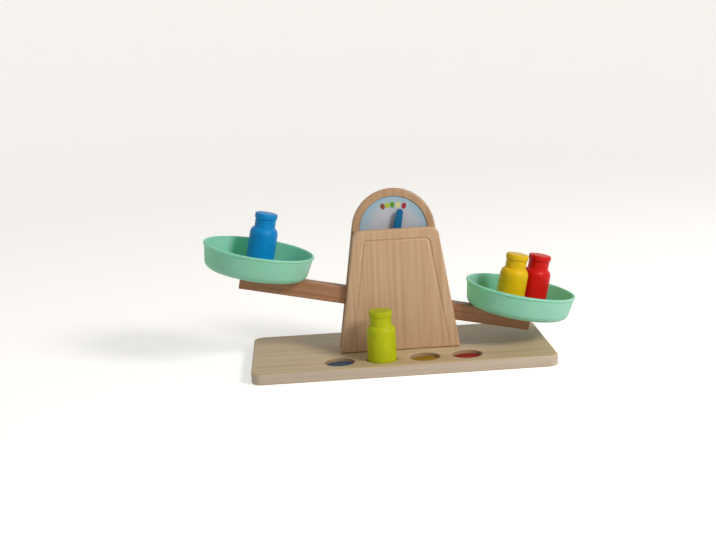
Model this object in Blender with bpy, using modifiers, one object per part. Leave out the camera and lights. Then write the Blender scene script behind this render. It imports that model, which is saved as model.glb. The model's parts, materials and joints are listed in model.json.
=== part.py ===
"""Toy balance scale: a base with a tower, a beam hung under a high pivot, two pans and four weights.

Metres, +Z up, +X to the right, -Y towards the player. The origin is the centre of the base's underside.
"""
import math

import bmesh
import bpy
from mathutils import Matrix

# Clearances
SEAT = 0.0003           # between a piece and what it stands on or is let into
RUNNING = 0.0001        # radial, where the bush turns on the axle
SIDE_PLAY = 0.002       # between the beam and each tower board

# Base board
BASE_LENGTH = 0.340
BASE_DEPTH = 0.163
BASE_THICKNESS = 0.013
BASE_CORNER = 0.012     # corner radius seen from above
BOARD_EASE = 0.002      # rounding along the edges of the boards

# Weights, shaped like milk cans
WEIGHT_RADIUS = 0.0162
WEIGHT_HEIGHT = 0.060
NECK_RADIUS = 0.0120
CAP_RADIUS = 0.0130
CAP_HEIGHT = 0.0060
NECK_HEIGHT = 0.0110
SHOULDER_HEIGHT = 0.0080
WEIGHT_EASE = 0.0016

# Recesses along the front of the base
RECESS_PITCH = 0.0477
RECESS_DEPTH = 0.004    # from the base's top to the coloured disc
RECESS_PLAY = 0.0008    # radial room round a weight
RECESS_MARGIN = 0.0125  # wood left in front of a recess
DISC_THICKNESS = 0.0012

# Tower: two boards with the beam between them
BOARD_THICKNESS = 0.008
TOWER_WIDTH = 0.137     # across the feet of both boards
FRONT_HEIGHT = 0.140
FRONT_CORNER = 0.010
ARCH_RADIUS = 0.048
ARCH_RISE = 0.042       # from the front board's top to the arch's
GROOVE_INSET = 0.0125   # from the front board's outline to the groove
GROOVE_CORNER = 0.005
GROOVE_RADIUS = 0.0021
GROOVE_DEPTH = 0.0012
FOOT_BLOCK_INSET = 0.0085      # from the corner of a board's foot to the foot block's end
FOOT_BLOCK_HEIGHT = 0.020
SHOULDER_BLOCK_WIDTH = 0.015
SHOULDER_BLOCK_HEIGHT = 0.034
SHOULDER_BLOCK_INSET = 0.003   # inside the front board's sloping side
SHOULDER_BLOCK_DROP = 0.004    # below the front board's top

# Dial let into the back board
DIAL_RADIUS = 0.039
DIAL_THICKNESS = 0.0015
DIAL_SINK = 0.0010      # from the wood rim's face to the dial's face
DIAL_TUCK = 0.009       # how far the dial goes down behind the front board

# Pins of the tower
AXLE_RADIUS = 0.0025
PEG_RADIUS = 0.004
PEG_INSET = 0.0225      # from the corner of a board's foot in to a stop peg
DOWEL_RADIUS = 0.003
DOWEL_INSET = 0.020     # from the foot block's end in to a dowel
DOWEL_RISE = 0.010
PIN_BITE = 0.005        # how far pegs, dowels and axle go into each board

# Beam and its hanger
TILT_DEG = 12.0         # each way from level
PIVOT_BELOW = 0.021     # from the front board's top down to the pivot
BEAM_RISE = 0.054       # from the base's top to the level beam's middle line
BEAM_END = 0.0165       # from a pan's axis to the end of the beam
BEAM_DEPTH = 0.018
BEAM_HEIGHT = 0.019
HANGER_WIDTH = 0.026
HANGER_THICKNESS = 0.010
HANGER_BITE = 0.011     # how deep the hanger is let into the beam
BUSH_WALL = 0.0018
SPACER_WALL = 0.0020
POINTER_REACH = 0.041   # from the pivot to the pointer's tip
POINTER_ROOT = 0.0055
POINTER_TIP = 0.0038
POINTER_THICKNESS = 0.002
POINTER_SCREW_RISE = 0.0085

# Pans
PAN_SPREAD = 0.152      # from the beam's middle to a pan's axis
PAN_RADIUS = 0.0635
PAN_HEIGHT = 0.029
PAN_WALL = 0.0026
PAN_FLOOR = 0.0045
PAN_FLARE_DEG = 9.0
PAN_CORNER = 0.009      # rounding between wall and floor, outside
PAN_LIP = 0.0007        # how far the rim's bead stands out
PAN_BEAD = 0.0043       # from the rim down to where the bead ends
BOSS_RADIUS = 0.006
BOSS_DEPTH = 0.006

# Where the weights stand on the pans: along the beam and back from its middle line
BLUE_SPOT = (0.0030, 0.0320)
YELLOW_SPOT = (-0.0090, 0.0056)
RED_SPOT = (0.0214, 0.0243)

# Wood screws with countersunk heads: shank radius, head radius and head height
SCREW = (0.0015, 0.0030, 0.0020)
SMALL_SCREW = (0.0010, 0.0020, 0.0012)
SCREW_SINK = 0.0005     # head below the wood
SCREW_BITE = 0.0080     # how far a screw goes into what it holds
TOWER_SCREW_INSET = 0.018       # from a dowel in to a tower screw
HANGER_SCREW_SPREAD = 0.007
SMALL_SCREW_BITE = 0.004

# Sides of the round shapes
FINE = 44
ROUND = 32
SMALL = 24
TINY = 16

# Places that follow from the sizes above
BOARD_GAP = BEAM_DEPTH / 2 + SIDE_PLAY              # middle plane to a board's inner face
BOARD_MIDDLE = BOARD_GAP + BOARD_THICKNESS / 2
FOOT_BLOCK_LENGTH = TOWER_WIDTH - 2 * FOOT_BLOCK_INSET
PEG_SPREAD = TOWER_WIDTH / 2 - PEG_INSET            # from the middle to a stop peg
DOWEL_SPREAD = FOOT_BLOCK_LENGTH / 2 - DOWEL_INSET
TOWER_SCREW_SPREAD = DOWEL_SPREAD - TOWER_SCREW_INSET
BEAM_LENGTH = 2 * (PAN_SPREAD + BEAM_END)
RECESS_RADIUS = WEIGHT_RADIUS + RECESS_PLAY
RECESS_Y = -BASE_DEPTH / 2 + RECESS_MARGIN + RECESS_RADIUS
TOWER_FOOT = BASE_THICKNESS + SEAT
ARCH_HEIGHT = FRONT_HEIGHT + ARCH_RISE
PIVOT_HEIGHT = FRONT_HEIGHT - PIVOT_BELOW           # above the base's top
BEAM_DROP = PIVOT_HEIGHT - BEAM_RISE                # from the pivot down to the beam's middle line
PIVOT = (0.0, 0.0, BASE_THICKNESS + PIVOT_HEIGHT)
BEAM_TOP = -BEAM_DROP + BEAM_HEIGHT / 2             # measured from the pivot
BEAM_UNDERSIDE = -BEAM_DROP - BEAM_HEIGHT / 2
ARCH_CENTRE = ARCH_HEIGHT - ARCH_RADIUS
TILT = math.radians(TILT_DEG)


def tower_lean():
    """Lean of the tower's sides from upright, at which they run smoothly into the arch."""
    reach = math.hypot(TOWER_WIDTH / 2, ARCH_CENTRE)
    return math.acos(ARCH_RADIUS / reach) - math.atan2(ARCH_CENTRE, TOWER_WIDTH / 2)


LEAN = tower_lean()


def half_width(height):
    """Half the tower's width at a height above the base."""
    return TOWER_WIDTH / 2 - height * math.tan(LEAN)


def make_collection(name):
    """A new collection in the scene."""
    made = bpy.data.collections.new(name)
    bpy.context.scene.collection.children.link(made)
    return made


def material(name, colour, roughness, metallic=0.0):
    """A plain material. The colour is sRGB, from 0 to 255."""
    look = bpy.data.materials.new(name)
    look.use_nodes = True
    shader = look.node_tree.nodes["Principled BSDF"]
    linear = [((c / 255 + 0.055) / 1.055) ** 2.4 for c in colour]
    shader.inputs["Base Color"].default_value = (*linear, 1.0)
    shader.inputs["Roughness"].default_value = roughness
    shader.inputs["Metallic"].default_value = metallic
    look.diffuse_color = (*linear, 1.0)
    return look


def show(name, mesh, look, parent=None):
    """Puts a mesh in the scene as one of the toy's pieces."""
    piece = bpy.data.objects.new(name, mesh)
    mesh.materials.append(look)
    PIECES.objects.link(piece)
    piece.parent = parent
    return piece


def as_cutter(shape, parent=None):
    """Turns an object into a cutter, which isn't part of the toy."""
    for home in list(shape.users_collection):
        home.objects.unlink(shape)
    CUTTERS.objects.link(shape)
    shape.parent = parent
    shape.display_type = "WIRE"
    shape.hide_render = True
    return shape


def cut(piece, *cutters):
    """Takes each cutter's shape out of a piece."""
    for cutter in cutters:
        step = piece.modifiers.new(cutter.name, "BOOLEAN")
        step.operation = "DIFFERENCE"
        step.solver = "EXACT"
        step.object = cutter


def box_mesh(name, size, corner=0.0, ease=0.0, ends=False):
    """A box about the origin, its four upright edges rounded by corner, then its rim by ease."""
    bm = bmesh.new()
    bmesh.ops.create_cube(bm, size=1.0)
    bmesh.ops.scale(bm, vec=size, verts=bm.verts)
    if corner:
        upright = [e for e in bm.edges if abs(e.verts[0].co.z - e.verts[1].co.z) > size[2] / 2]
        bmesh.ops.bevel(bm, geom=upright, offset=corner, offset_type="OFFSET", segments=6,
                        profile=0.5, affect="EDGES")
    if ease:
        rim = [e for e in bm.edges if ends or abs(e.verts[0].co.z - e.verts[1].co.z) < size[2] / 2]
        sharp = [e for e in rim if e.calc_face_angle(0.0) > math.radians(50)]
        bmesh.ops.bevel(bm, geom=sharp, offset=ease, offset_type="OFFSET", segments=2,
                        profile=0.5, affect="EDGES")
    mesh = bpy.data.meshes.new(name)
    bm.to_mesh(mesh)
    bm.free()
    return mesh


def rod_mesh(name, radius, length, sides=TINY):
    """A plain rod about the origin, its axis along Y."""
    bm = bmesh.new()
    bmesh.ops.create_cone(bm, cap_ends=True, segments=sides, radius1=radius, radius2=radius, depth=length,
                          matrix=Matrix.Rotation(math.pi / 2, 4, "X"))
    mesh = bpy.data.meshes.new(name)
    bm.to_mesh(mesh)
    bm.free()
    mesh.shade_smooth()
    mesh.set_sharp_from_angle(angle=math.radians(40))
    return mesh


def turned(name, profile, look, parent=None, sides=ROUND, ring=False):
    """A turned piece: a profile of (radius, height) points, top to bottom outside, spun about Z."""
    mesh = bpy.data.meshes.new(name)
    count = len(profile)
    edges = [(i, (i + 1) % count) for i in range(count if ring else count - 1)]
    mesh.from_pydata([(r, 0.0, z) for r, z in profile], edges, [])
    piece = show(name, mesh, look, parent)
    spin = piece.modifiers.new("spin", "SCREW")
    spin.axis = "Z"
    spin.angle = 2 * math.pi
    spin.steps = spin.render_steps = sides
    spin.use_merge_vertices = True
    spin.merge_threshold = 0.00001
    spin.use_smooth_shade = True
    return piece


def arc(centre, radius, start_deg, end_deg, steps):
    """Points on an arc of a circle, both ends included."""
    turns = [math.radians(start_deg + (end_deg - start_deg) * i / steps) for i in range(steps + 1)]
    return [(centre[0] + radius * math.cos(t), centre[1] + radius * math.sin(t)) for t in turns]


def plate(name, outline, thickness, look, parent=None, ease=0.0):
    """An upright plate about the plane Y = 0, cut to an outline of (x, z) points, as a mesh."""
    curve = bpy.data.curves.new(name, "CURVE")
    curve.dimensions = "2D"
    curve.fill_mode = "BOTH"
    curve.extrude = thickness / 2 - ease
    curve.bevel_depth = ease
    curve.bevel_resolution = 1
    curve.offset = -ease
    spline = curve.splines.new("POLY")
    spline.points.add(len(outline) - 1)
    for point, (x, z) in zip(spline.points, outline):
        point.co = (x, z, 0.0, 1.0)
    spline.use_cyclic_u = True
    drawn = bpy.data.objects.new(name + "_outline", curve)
    bpy.context.scene.collection.objects.link(drawn)
    mesh = welded(drawn, Matrix.Rotation(math.pi / 2, 4, "X"))
    mesh.name = name
    return show(name, mesh, look, parent)


def welded(drawn, turn):
    """The closed mesh of a curve object, turned; the curve goes away."""
    bpy.context.view_layer.update()
    seen = drawn.evaluated_get(bpy.context.evaluated_depsgraph_get())
    mesh = bpy.data.meshes.new_from_object(seen)
    bpy.data.objects.remove(drawn)
    bm = bmesh.new()
    bm.from_mesh(mesh)
    bmesh.ops.remove_doubles(bm, verts=bm.verts, dist=0.00001)
    bmesh.ops.transform(bm, matrix=turn, verts=bm.verts)
    bmesh.ops.recalc_face_normals(bm, faces=bm.faces)
    bm.to_mesh(mesh)
    bm.free()
    return mesh


def hull_of_circles(low, low_radius, high, high_radius, steps=6):
    """Outline round two circles on the Z axis at heights low and high."""
    lean = math.degrees(math.asin((low_radius - high_radius) / (high - low)))
    return (arc((0.0, high), high_radius, lean, 180 - lean, steps)
            + arc((0.0, low), low_radius, 180 - lean, 360 + lean, steps + 4))


def screw_profile(length, kind, grow=0.0, mouth=0.0):
    """A screw pointing up from z = 0. With grow it is the hole for one, open below by mouth."""
    shank, head, head_height = kind
    tip = 0.6 * shank
    hole = [(head + grow, -mouth)] if mouth else []
    return ([(0.0, length + grow), (shank - tip + grow, length + grow), (shank + grow, length - tip + grow),
             (shank + grow, head_height + grow), (head + grow, grow)] + hole + [(0.0, -mouth)])


def add_screw(name, kind, place, length, held, parent=None, turn=(0.0, 0.0, 0.0)):
    """A screw and its hole in each piece that it goes through."""
    screw = turned(name, screw_profile(length, kind), STEEL, parent, TINY)
    hole_profile = screw_profile(length, kind, SEAT, kind[1])
    hole = as_cutter(turned(name + "_hole", hole_profile, STEEL, None, TINY), parent)
    for thing in (screw, hole):
        thing.location = place
        thing.rotation_euler = turn
    for piece in held:
        cut(piece, hole)
    return screw


def side_line(height, inset=0.0):
    """Point on the tower's right side line at a height, moved in by inset."""
    return (half_width(height) - inset / math.cos(LEAN), height)


def front_outline(radius, inset=0.0, bottom=0.0):
    """The front board's outline, or a line inside it: up the right side, over the top, down the left."""
    top = FRONT_HEIGHT - inset
    # A corner's circle touches the top line and the sloping side line.
    lean = math.degrees(LEAN)
    centre_z = top - radius
    centre_x = side_line(centre_z, inset)[0] - radius / math.cos(LEAN)
    right = arc((centre_x, centre_z), radius, lean, 90, 5)
    left = [(-x, z) for x, z in reversed(right)]
    foot = side_line(bottom, inset)
    return [foot] + right + left + [(-foot[0], foot[1])]


def back_outline():
    """The back board's outline: sloping sides that run into a round arch."""
    lean = math.degrees(LEAN)
    return [(half_width(0.0), 0.0)] + arc((0.0, ARCH_CENTRE), ARCH_RADIUS, lean, 180 - lean, 30) + [
        (-half_width(0.0), 0.0)]


def dial_outline(grow=0.0):
    """The dial: a half round with straight sides that go down behind the front board."""
    radius = DIAL_RADIUS + grow
    low = FRONT_HEIGHT - DIAL_TUCK - grow
    return [(radius, low)] + arc((0.0, ARCH_CENTRE), radius, 0, 180, 28) + [(-radius, low)]


def weight_profile():
    """Milk can: flat foot, straight body, round shoulder, neck and a wider cap."""
    ease = WEIGHT_EASE
    cap_low = WEIGHT_HEIGHT - CAP_HEIGHT
    shoulder_high = cap_low - NECK_HEIGHT
    shoulder_low = shoulder_high - SHOULDER_HEIGHT
    points = [(0.0, WEIGHT_HEIGHT)]
    points += arc((CAP_RADIUS - ease, WEIGHT_HEIGHT - ease), ease, 90, 0, 2)
    points += [(CAP_RADIUS, cap_low + ease / 2), (CAP_RADIUS - ease / 2, cap_low),
               (NECK_RADIUS, cap_low - ease / 4)]
    for i in range(5):
        t = math.pi / 2 * i / 4
        points.append((NECK_RADIUS + (WEIGHT_RADIUS - NECK_RADIUS) * math.sin(t),
                       shoulder_low + SHOULDER_HEIGHT * math.cos(t)))
    points += arc((WEIGHT_RADIUS - ease, ease), ease, 0, -90, 2)
    points.append((0.0, 0.0))
    return points


def pan_profile():
    """A shallow dish with a flared wall, a round lower corner, a beaded rim and a boss below its floor."""
    flare = math.radians(PAN_FLARE_DEG)
    bead = PAN_WALL / 2 + PAN_LIP / 2
    rim_x, rim_z = PAN_RADIUS - bead, PAN_HEIGHT - bead
    # The wall's outer face leans out by the flare and touches the lower corner's arc.
    foot_x = PAN_RADIUS - PAN_LIP - (PAN_HEIGHT - PAN_CORNER) * math.tan(flare)
    corner_x = foot_x - PAN_CORNER / math.cos(flare)
    inner = PAN_CORNER - PAN_WALL
    pilot, pilot_depth = SCREW[0] + SEAT, SCREW_BITE - BOSS_DEPTH / 2
    points = [(0.0, PAN_FLOOR)]
    points += arc((corner_x, PAN_FLOOR + inner), inner, -90, -PAN_FLARE_DEG, 3)
    points += arc((rim_x, rim_z), bead, 180 - PAN_FLARE_DEG, -PAN_FLARE_DEG - 20, 5)
    points += [(PAN_RADIUS - PAN_LIP - PAN_BEAD * math.tan(flare), PAN_HEIGHT - PAN_BEAD)]
    points += arc((corner_x, PAN_CORNER), PAN_CORNER, -PAN_FLARE_DEG, -90, 3)
    points += [(BOSS_RADIUS, 0.0), (BOSS_RADIUS, -BOSS_DEPTH), (pilot, -BOSS_DEPTH),
               (pilot, pilot_depth - BOSS_DEPTH), (0.0, pilot_depth - BOSS_DEPTH)]
    return points


def stop_peg_height():
    """Height of the stop pegs above the base, where the tipped beam's underside comes to rest."""
    below = BEAM_UNDERSIDE - PEG_RADIUS - SEAT
    along = (PEG_SPREAD - below * math.sin(TILT)) / math.cos(TILT)
    return PIVOT_HEIGHT - along * math.sin(TILT) + below * math.cos(TILT)


def build_base():
    """The base board with its four recesses and their coloured discs."""
    mesh = box_mesh("base_board", (BASE_LENGTH, BASE_DEPTH, BASE_THICKNESS), BASE_CORNER, BOARD_EASE)
    board = show("base_board", mesh, PALE_WOOD)
    board.location = (0.0, 0.0, BASE_THICKNESS / 2)
    floor = BASE_THICKNESS - RECESS_DEPTH
    for i, (colour, look) in enumerate(WEIGHT_LOOKS.items()):
        x = (i - 1.5) * RECESS_PITCH
        low = floor - DISC_THICKNESS - SEAT
        pocket = turned("recess_" + colour, [(0.0, BASE_THICKNESS), (RECESS_RADIUS, BASE_THICKNESS),
                                             (RECESS_RADIUS, 0.0), (0.0, 0.0)], look, None, FINE)
        pocket.location = (x, RECESS_Y, low)
        cut(board, as_cutter(pocket))
        edge = RECESS_RADIUS - SEAT
        disc = turned("recess_disc_" + colour, [(0.0, DISC_THICKNESS), (edge, DISC_THICKNESS), (edge, 0.0),
                                                (0.0, 0.0)], look, None, FINE)
        disc.location = (x, RECESS_Y, floor - DISC_THICKNESS)
    return board


def build_tower(base):
    """Front board, arched back board, dial, blocks, dowels, stop pegs and axle."""
    front = plate("front_board", front_outline(FRONT_CORNER), BOARD_THICKNESS, WARM_WOOD, None, BOARD_EASE)
    front.location = (0.0, -BOARD_MIDDLE, TOWER_FOOT)
    back = plate("back_board", back_outline(), BOARD_THICKNESS, WARM_WOOD, None, BOARD_EASE)
    back.location = (0.0, BOARD_MIDDLE, TOWER_FOOT)
    cut(front, groove_cutter())
    sink = DIAL_SINK + DIAL_THICKNESS
    pocket = as_cutter(plate("dial_pocket", dial_outline(SEAT), 2 * (sink + SEAT), DIAL_BLUE))
    pocket.location = (0.0, BOARD_GAP, TOWER_FOOT)
    cut(back, pocket)
    dial = plate("dial_plate", dial_outline(), DIAL_THICKNESS, DIAL_BLUE)
    dial.location = (0.0, BOARD_GAP + DIAL_SINK + DIAL_THICKNESS / 2, TOWER_FOOT)

    block_depth = 2 * (BOARD_GAP - SEAT)
    foot_size = (FOOT_BLOCK_LENGTH, block_depth, FOOT_BLOCK_HEIGHT)
    foot = show("foot_block", box_mesh("foot_block", foot_size), WARM_WOOD)
    foot.location = (0.0, 0.0, TOWER_FOOT + FOOT_BLOCK_HEIGHT / 2)
    high = FRONT_HEIGHT - SHOULDER_BLOCK_DROP
    size = (SHOULDER_BLOCK_WIDTH, block_depth, SHOULDER_BLOCK_HEIGHT)
    reach = half_width(high) - SHOULDER_BLOCK_INSET - SHOULDER_BLOCK_WIDTH / 2
    peg_level = BASE_THICKNESS + stop_peg_height()
    dowel_level = TOWER_FOOT + DOWEL_RISE
    pin_length = 2 * (BOARD_GAP + PIN_BITE)
    for side, sign in SIDES:
        shoulder = show("shoulder_block_" + side, box_mesh("shoulder_block_" + side, size), WARM_WOOD)
        shoulder.location = (sign * reach, 0.0, TOWER_FOOT + high - SHOULDER_BLOCK_HEIGHT / 2)
        add_pin("stop_peg_" + side, PEG_RADIUS, pin_length, (sign * PEG_SPREAD, 0.0, peg_level), PALE_WOOD,
                (front, back))
        add_pin("foot_dowel_" + side, DOWEL_RADIUS, pin_length, (sign * DOWEL_SPREAD, 0.0, dowel_level),
                PALE_WOOD, (front, back, foot))
        length = BASE_THICKNESS - SCREW_SINK + SCREW_BITE
        add_screw("tower_screw_" + side, SCREW, (sign * TOWER_SCREW_SPREAD, 0.0, SCREW_SINK), length,
                  (base, foot))
    add_pin("axle", AXLE_RADIUS, pin_length, PIVOT, STEEL, (front, back))


def groove_cutter():
    """A round rod bent to the line of the groove, sunk into the front board's face by the groove's depth."""
    curve = bpy.data.curves.new("groove", "CURVE")
    curve.dimensions = "3D"
    curve.bevel_depth = GROOVE_RADIUS
    curve.bevel_resolution = 2
    curve.use_fill_caps = True
    line = front_outline(GROOVE_CORNER, GROOVE_INSET, -2 * BOARD_EASE)
    spline = curve.splines.new("POLY")
    spline.points.add(len(line) - 1)
    for point, (x, z) in zip(spline.points, line):
        point.co = (x, 0.0, z, 1.0)
    drawn = bpy.data.objects.new("groove_line", curve)
    bpy.context.scene.collection.objects.link(drawn)
    rod = as_cutter(show("groove_cutter", welded(drawn, Matrix.Identity(4)), WARM_WOOD))
    rod.location = (0.0, -BOARD_GAP - BOARD_THICKNESS - GROOVE_RADIUS + GROOVE_DEPTH, TOWER_FOOT)
    return rod


def add_pin(name, radius, length, place, look, held):
    """A pin along Y and its hole in each piece that holds it."""
    pin = show(name, rod_mesh(name, radius, length), look)
    hole = as_cutter(show(name + "_hole", rod_mesh(name + "_hole", radius + SEAT, length + 2 * SEAT), look))
    pin.location = hole.location = place
    for piece in held:
        cut(piece, hole)


def build_beam(pivot):
    """Everything that tips: beam, hanger, bush, pointer, pans and their screws, on the pivot."""
    beam = show("beam", box_mesh("beam", (BEAM_LENGTH, BEAM_DEPTH, BEAM_HEIGHT), 0.0, BOARD_EASE / 2, True),
                BEAM_WOOD, pivot)
    beam.location = (0.0, 0.0, -BEAM_DROP)

    foot = BEAM_TOP - HANGER_BITE
    half = HANGER_WIDTH / 2
    outline = [(half, foot + SEAT)] + arc((0.0, 0.0), half, 0, 180, 16) + [(-half, foot + SEAT)]
    hanger = plate("hanger", outline, HANGER_THICKNESS, WARM_WOOD, pivot)
    mortise_size = (HANGER_WIDTH + 2 * SEAT, HANGER_THICKNESS + 2 * SEAT, 2 * HANGER_BITE)
    mortise = as_cutter(show("mortise", box_mesh("mortise", mortise_size), BEAM_WOOD), pivot)
    mortise.location = (0.0, 0.0, BEAM_TOP)
    cut(beam, mortise)

    build_bearing(hanger, pivot)

    head = BEAM_UNDERSIDE + SCREW_SINK
    for side, sign in SIDES:
        add_screw("hanger_screw_" + side, SCREW, (sign * HANGER_SCREW_SPREAD, 0.0, head),
                  foot - head + SCREW_BITE, (beam, hanger), pivot)
        pan = turned("pan_" + side, pan_profile(), MINT, pivot, FINE)
        pan.location = (sign * PAN_SPREAD, 0.0, BEAM_TOP + SEAT)
        socket = turned("pan_socket_" + side, [(0.0, BOSS_DEPTH), (BOSS_RADIUS + SEAT, BOSS_DEPTH),
                                               (BOSS_RADIUS + SEAT, -BOSS_DEPTH - SEAT),
                                               (0.0, -BOSS_DEPTH - SEAT)], BEAM_WOOD, None, SMALL)
        as_cutter(socket, pivot).location = (sign * PAN_SPREAD, 0.0, BEAM_TOP)
        cut(beam, socket)
        reach = BEAM_TOP - BOSS_DEPTH - head + SCREW_BITE - BOSS_DEPTH / 2 - SEAT
        add_screw("pan_screw_" + side, SCREW, (sign * PAN_SPREAD, 0.0, head), reach, (beam,), pivot)


def build_bearing(hanger, pivot):
    """The bush in the hanger, the pointer behind it and the rings that centre it on the axle."""
    bore = AXLE_RADIUS + RUNNING
    sleeve = bore + BUSH_WALL
    half = HANGER_THICKNESS / 2
    section = [(sleeve, half), (sleeve, -half), (bore, -half), (bore, half)]
    bush = turned("axle_bush", section, BRASS, pivot, SMALL, ring=True)
    seat = rod_mesh("bush_seat", sleeve + SEAT, 2 * HANGER_THICKNESS)
    cut(hanger, as_cutter(show("bush_seat", seat, BRASS), pivot))

    pointer = plate("pointer", hull_of_circles(0.0, POINTER_ROOT, POINTER_REACH - POINTER_TIP, POINTER_TIP),
                    POINTER_THICKNESS, POINTER_BLUE, pivot)
    pointer.location = (0.0, half + SEAT + POINTER_THICKNESS / 2, 0.0)
    hole = rod_mesh("pointer_hole", AXLE_RADIUS + SEAT, 2 * POINTER_THICKNESS)
    through = as_cutter(show("pointer_hole", hole, POINTER_BLUE), pivot)
    through.location = pointer.location
    cut(pointer, through)
    back = half + SEAT + POINTER_THICKNESS
    add_screw("pointer_screw", SMALL_SCREW, (0.0, back, POINTER_SCREW_RISE),
              POINTER_THICKNESS + SMALL_SCREW_BITE, (pointer, hanger), pivot, (math.pi / 2, 0.0, 0.0))

    inner, outer = AXLE_RADIUS + SEAT, AXLE_RADIUS + SEAT + SPACER_WALL
    rings = (("spacer_ring_front", SEAT - BOARD_GAP, -half - SEAT),
             ("spacer_ring_back", back + SEAT, BOARD_GAP - SEAT))
    for name, low, high in rings:
        span = (high - low) / 2
        section = [(outer, span), (outer, -span), (inner, -span), (inner, span)]
        ring = turned(name, section, PALE_WOOD, None, SMALL, ring=True)
        ring.location = (PIVOT[0], (low + high) / 2, PIVOT[2])
        ring.rotation_euler = (math.pi / 2, 0.0, 0.0)
    bush.rotation_euler = (math.pi / 2, 0.0, 0.0)


def build_weights(pivot):
    """The four weights: one on the left pan, one in its recess, two on the right pan."""
    recess_x = -RECESS_PITCH / 2
    recess_floor = BASE_THICKNESS - RECESS_DEPTH + SEAT
    pan_floor = BEAM_TOP + SEAT + PAN_FLOOR + SEAT
    spots = {
        "blue": (pivot, (-PAN_SPREAD + BLUE_SPOT[0], BLUE_SPOT[1], pan_floor)),
        "green": (None, (recess_x, RECESS_Y, recess_floor)),
        "yellow": (pivot, (PAN_SPREAD + YELLOW_SPOT[0], YELLOW_SPOT[1], pan_floor)),
        "red": (pivot, (PAN_SPREAD + RED_SPOT[0], RED_SPOT[1], pan_floor)),
    }
    for colour, (parent, place) in spots.items():
        weight = turned("weight_" + colour, weight_profile(), WEIGHT_LOOKS[colour], parent)
        weight.location = place


for thing in list(bpy.data.objects):
    bpy.data.objects.remove(thing)

PIECES = make_collection("toy_balance_scale")
CUTTERS = make_collection("cutters")

SIDES = (("left", -1.0), ("right", 1.0))
PALE_WOOD = material("pale_beech", (201, 184, 156), 0.55)
WARM_WOOD = material("beech", (192, 154, 120), 0.5)
BEAM_WOOD = material("dark_beech", (156, 107, 80), 0.5)
MINT = material("mint_plastic", (134, 201, 168), 0.35)
STEEL = material("zinc_steel", (170, 170, 172), 0.3, 1.0)
BRASS = material("bush_brass", (190, 160, 90), 0.35, 1.0)
DIAL_BLUE = material("dial_print", (176, 190, 200), 0.5)
POINTER_BLUE = material("pointer_blue", (20, 110, 165), 0.4)
WEIGHT_LOOKS = {
    "blue": material("blue_lacquer", (14, 118, 180), 0.3),
    "green": material("green_lacquer", (163, 174, 24), 0.3),
    "yellow": material("yellow_lacquer", (207, 180, 28), 0.3),
    "red": material("red_lacquer", (192, 26, 26), 0.3),
}

beam_pivot = bpy.data.objects.new("beam_pivot", None)
PIECES.objects.link(beam_pivot)
beam_pivot.location = PIVOT
beam_pivot.rotation_euler = (0.0, TILT, 0.0)

build_tower(build_base())
build_beam(beam_pivot)
build_weights(beam_pivot)
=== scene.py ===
"""Toy balance scale, dressed: beech base and tower, a tipping beam with two mint pans, dial and weights.

Metres, +Z up, +X to the right, -Y towards the player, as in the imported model. Each sub-assembly is a class
whose fields hold its sizes. Its pieces are surfaces worked out with numpy in a local frame, whose x and y lie
in a board or across a turned piece and whose z is a board's thickness or a turned piece's axis. A Place puts
them in the model.
"""
import functools
import json
import logging
import math
from dataclasses import dataclass, field
from enum import Enum
from typing import Any, Callable, ClassVar, Sequence

import bmesh
import bpy
import numpy as np
from mathutils import Matrix, Vector
from mathutils.geometry import tessellate_polygon

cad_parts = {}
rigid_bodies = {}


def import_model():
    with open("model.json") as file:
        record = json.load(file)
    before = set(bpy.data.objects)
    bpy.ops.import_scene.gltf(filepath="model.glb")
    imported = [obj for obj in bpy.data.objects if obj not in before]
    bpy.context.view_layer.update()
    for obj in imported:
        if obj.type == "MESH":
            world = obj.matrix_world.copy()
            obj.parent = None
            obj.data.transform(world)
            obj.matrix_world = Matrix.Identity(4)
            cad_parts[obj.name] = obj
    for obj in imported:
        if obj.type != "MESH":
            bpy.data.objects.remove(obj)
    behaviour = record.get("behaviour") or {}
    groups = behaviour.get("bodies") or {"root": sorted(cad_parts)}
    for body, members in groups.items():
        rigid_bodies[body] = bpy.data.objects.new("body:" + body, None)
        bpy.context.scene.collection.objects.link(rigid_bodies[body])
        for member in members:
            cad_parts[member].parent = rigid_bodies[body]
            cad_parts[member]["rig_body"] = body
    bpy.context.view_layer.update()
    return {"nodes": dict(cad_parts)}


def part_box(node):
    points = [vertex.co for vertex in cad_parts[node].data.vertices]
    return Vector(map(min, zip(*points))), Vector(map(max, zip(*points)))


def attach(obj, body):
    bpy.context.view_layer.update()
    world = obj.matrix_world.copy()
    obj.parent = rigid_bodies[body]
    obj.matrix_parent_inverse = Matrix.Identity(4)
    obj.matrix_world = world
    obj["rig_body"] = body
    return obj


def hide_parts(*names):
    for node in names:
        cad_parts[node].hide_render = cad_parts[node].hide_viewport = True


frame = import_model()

LOG = logging.getLogger("balance")
Tree, Socket = bpy.types.NodeTree, bpy.types.NodeSocket
Maker = Callable[..., Socket]       # adds a node to one tree
Skin = tuple[Socket, Socket, Socket]        # colour, the gloss's noise and the relief's height
Pair = tuple[float, float]
Triple = tuple[float, float, float]

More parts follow.
